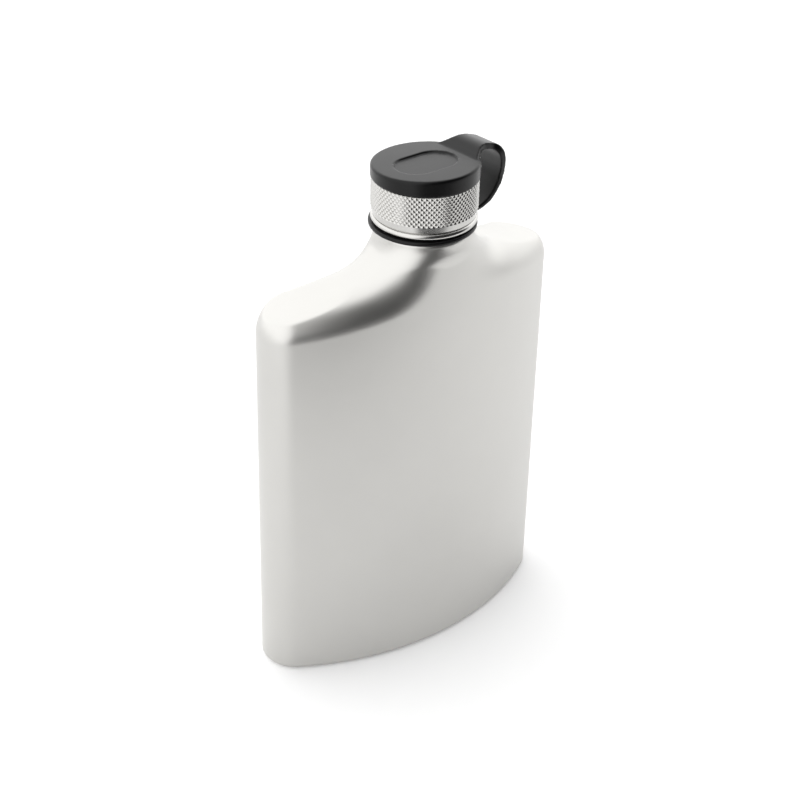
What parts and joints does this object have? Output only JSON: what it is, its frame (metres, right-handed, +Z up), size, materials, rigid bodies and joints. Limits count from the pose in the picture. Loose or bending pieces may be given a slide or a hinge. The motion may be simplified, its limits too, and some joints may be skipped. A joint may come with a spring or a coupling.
{
  "type": "curved steel pocket flask with tethered screw cap",
  "caption": "Curved satin stainless steel pocket flask with a knurled screw cap, whose silicone cover is tied to a neck ring by a bent strap.",
  "frame": {"origin": "where the axis of the mouth meets the plane that the flask stands on", "axes": "+Z up the mouth's axis, +X along the flask's width towards the keeper's strap, -Y towards the bulging front"},
  "size_m": [0.0944, 0.0322, 0.1518],
  "materials": {
    "satin_steel": "bead-blasted satin stainless steel",
    "cap_steel": "bright turned stainless steel with a diamond knurl",
    "insert_plastic": "white moulded polypropylene",
    "seal_silicone": "translucent food-grade silicone",
    "keeper_silicone": "matte black silicone"
  },
  "bodies": {
    "flask": {"body_wall": "satin_steel", "shoulder": "satin_steel", "base_plate": "satin_steel", "threaded_spout": "satin_steel"},
    "keeper": {"keeper_ring": "keeper_silicone", "keeper_strap": "keeper_silicone"},
    "cap": {"cap_shell": "cap_steel", "cap_thread_insert": "insert_plastic", "seal_disc": "seal_silicone", "cap_cover": "keeper_silicone"}
  },
  "joints": [
    {"name": "cap_turn", "type": "hinge", "parent": "flask", "child": "keeper", "pos_m": [0, 0, 0.13328], "axis": [0, 0, 1], "range_deg": [0, 900]},
    {"name": "cap_lift", "type": "slide", "parent": "keeper", "child": "cap", "axis": [0, 0, 1], "range_m": [0, 0.00751], "deforming": ["keeper_strap"]}
  ],
  "couplings": [
    {"joint": "cap_lift", "follows": "cap_turn", "m_per_rad": 0.00047746}
  ]
}
